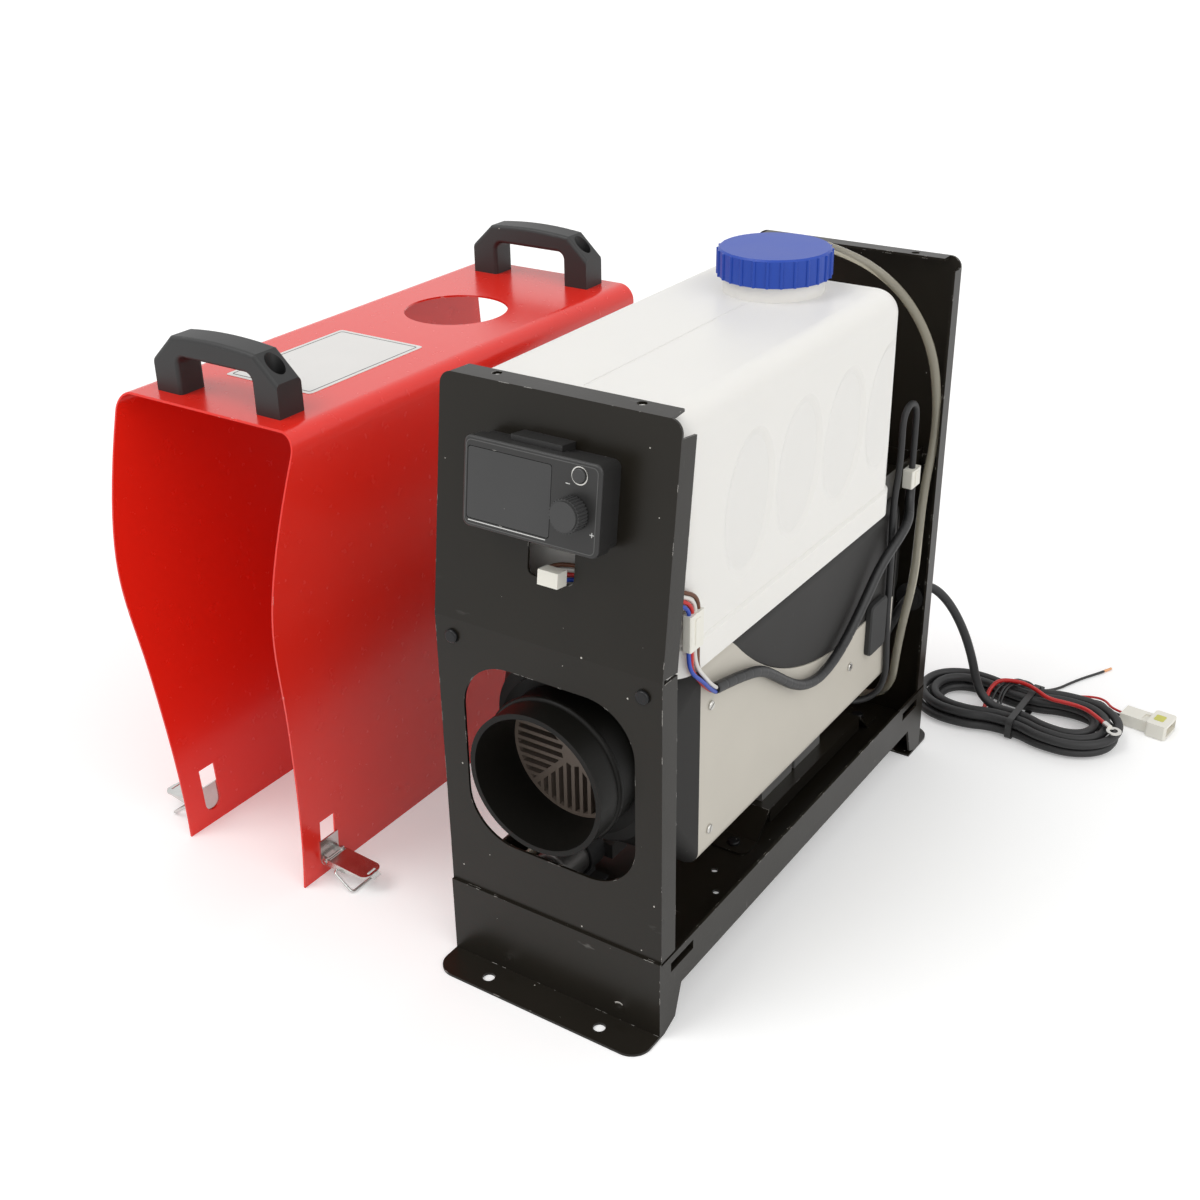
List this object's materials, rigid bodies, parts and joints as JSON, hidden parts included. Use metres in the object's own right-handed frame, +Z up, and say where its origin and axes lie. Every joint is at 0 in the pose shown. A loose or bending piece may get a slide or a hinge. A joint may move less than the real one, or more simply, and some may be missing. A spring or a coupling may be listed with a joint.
{
  "type": "diesel air heater",
  "caption": "All-in-one diesel air heater: fuel tank above a ducted heater core in a sheet frame, controller in front, power lead in a hank, lifted-off cover beside it.",
  "frame": {"origin": "centre of the four foot-bolt holes, on the floor", "axes": "+Z up; -Y out of the warm-air outlet, towards the front; +X to the right seen from the front"},
  "size_m": [0.5455, 0.5504, 0.373],
  "materials": {
    "frame_black": "satin powder coat",
    "cover_red": "gloss powder coat",
    "screw_black": "black oxide",
    "shell_beige": "moulded, matt",
    "shell_dark": "moulded, matt",
    "collar_black": "moulded, satin",
    "cast_aluminium": "as cast",
    "stainless": "drawn",
    "motor_zinc": "plated",
    "fan_plastic": "moulded",
    "board_green": "solder mask",
    "tank_white": "translucent, moulded",
    "cap_blue": "moulded",
    "liner_rubber": "matt",
    "fitting_white": "moulded",
    "hose_clear": "clear tube",
    "grille_grey": "moulded, matt",
    "rubber_black": "matt",
    "filter_clear": "translucent",
    "controller_black": "moulded, satin",
    "screen_dark": "polished window",
    "knob_black": "moulded",
    "connector_white": "moulded",
    "wire_mixed": "insulation",
    "sleeve_black": "corrugated and taped sleeve",
    "wire_red": "insulation",
    "wire_black": "insulation",
    "terminal_tin": "tinned",
    "handle_black": "moulded, fine grain",
    "latch_steel": "bright plated"
  },
  "bodies": {
    "heater": {"base_tray": "frame_black", "front_panel": "frame_black", "rear_panel": "frame_black", "core_bracket": "frame_black", "tank_brackets": "frame_black", "frame_screws": "screw_black", "core_lower_shell": "shell_beige", "core_upper_cover": "shell_dark", "outlet_cap": "shell_dark", "outlet_grille": "grille_grey", "duct_collar": "collar_black", "intake_cap": "shell_dark", "heat_exchanger": "cast_aluminium", "burner": "stainless", "glow_plug": "stainless", "blower_housing": "cast_aluminium", "blower_motor": "motor_zinc", "control_board": "board_green", "fuel_tank": "tank_white", "fuel_pickup": "fitting_white", "fuel_hose": "hose_clear", "fuel_pump": "motor_zinc", "pump_clip": "rubber_black", "fuel_filter": "filter_clear", "controller_cradle": "controller_black", "controller_case": "controller_black", "controller_screen": "screen_dark", "loom_connectors": "connector_white", "loom_wires": "wire_mixed", "controller_harness": "sleeve_black", "rear_harness": "sleeve_black", "grommets": "rubber_black", "power_lead": "sleeve_black", "power_hank": "sleeve_black", "hank_tie": "handle_black", "ring_wire": "wire_red", "ring_terminal": "terminal_tin", "bare_wire": "wire_black", "plug_wires": "wire_red", "power_connector": "connector_white"},
    "cover": {"cover_shell": "cover_red", "front_handle": "handle_black", "rear_handle": "handle_black", "latch_plates": "latch_steel"},
    "rotor": {"motor_shaft": "stainless", "air_impeller": "fan_plastic", "burner_impeller": "fan_plastic"},
    "cap_seal": {"cap_liner": "liner_rubber"},
    "cap": {"fuel_cap": "cap_blue"},
    "knob": {"controller_knob": "knob_black"},
    "button": {"controller_button": "knob_black"},
    "lever_front_right": {"lever_front_right": "latch_steel"},
    "bail_front_right": {"bail_front_right": "latch_steel"},
    "lever_rear_right": {"lever_rear_right": "latch_steel"},
    "bail_rear_right": {"bail_rear_right": "latch_steel"},
    "lever_front_left": {"lever_front_left": "latch_steel"},
    "bail_front_left": {"bail_front_left": "latch_steel"},
    "lever_rear_left": {"lever_rear_left": "latch_steel"},
    "bail_rear_left": {"bail_rear_left": "latch_steel"}
  },
  "joints": [
    {"name": "cover_lift", "type": "slide", "parent": "heater", "child": "cover", "axis": [0, 0, 1], "range_m": [0, 0.45]},
    {"name": "blower_spin", "type": "hinge", "parent": "heater", "child": "rotor", "pos_m": [0, 0.1, 0.146], "axis": [0, 1, 0], "continuous": true},
    {"name": "cap_lift", "type": "slide", "parent": "heater", "child": "cap_seal", "axis": [0, 0, 1], "range_m": [0, 0.06]},
    {"name": "cap_turn", "type": "hinge", "parent": "cap_seal", "child": "cap", "pos_m": [0, 0.062, 0.365], "axis": [0, 0, 1], "continuous": true},
    {"name": "knob_turn", "type": "hinge", "parent": "heater", "child": "knob", "pos_m": [0.0255, -0.18064, 0.30456], "axis": [0, -0.9914, 0.1305], "continuous": true},
    {"name": "button_press", "type": "slide", "parent": "heater", "child": "button", "axis": [0, 0.9914, -0.1305], "range_m": [0, 0.001], "stiffness_N_per_m": 800, "springref_m": -0.0005},
    {"name": "lever_front_right_turn", "type": "hinge", "parent": "cover", "child": "lever_front_right", "pos_m": [-0.18021, -0.1585, 0.01318], "axis": [0, -1, 0], "range_deg": [0, 80]},
    {"name": "bail_front_right_swing", "type": "hinge", "parent": "lever_front_right", "child": "bail_front_right", "pos_m": [-0.17074, -0.1585, 0.01094], "axis": [0, -1, 0], "range_deg": [-56, 37.5]},
    {"name": "lever_rear_right_turn", "type": "hinge", "parent": "cover", "child": "lever_rear_right", "pos_m": [-0.18021, 0.1585, 0.01318], "axis": [0, -1, 0], "range_deg": [0, 80]},
    {"name": "bail_rear_right_swing", "type": "hinge", "parent": "lever_rear_right", "child": "bail_rear_right", "pos_m": [-0.17074, 0.1585, 0.01094], "axis": [0, -1, 0], "range_deg": [-56, 37.5]},
    {"name": "lever_front_left_turn", "type": "hinge", "parent": "cover", "child": "lever_front_left", "pos_m": [-0.29279, -0.1585, 0.01318], "axis": [0, 1, 0], "range_deg": [0, 80]},
    {"name": "bail_front_left_swing", "type": "hinge", "parent": "lever_front_left", "child": "bail_front_left", "pos_m": [-0.30226, -0.1585, 0.01094], "axis": [0, 1, 0], "range_deg": [-56, 37.5]},
    {"name": "lever_rear_left_turn", "type": "hinge", "parent": "cover", "child": "lever_rear_left", "pos_m": [-0.29279, 0.1585, 0.01318], "axis": [0, 1, 0], "range_deg": [0, 80]},
    {"name": "bail_rear_left_swing", "type": "hinge", "parent": "lever_rear_left", "child": "bail_rear_left", "pos_m": [-0.30226, 0.1585, 0.01094], "axis": [0, 1, 0], "range_deg": [-56, 37.5]}
  ]
}
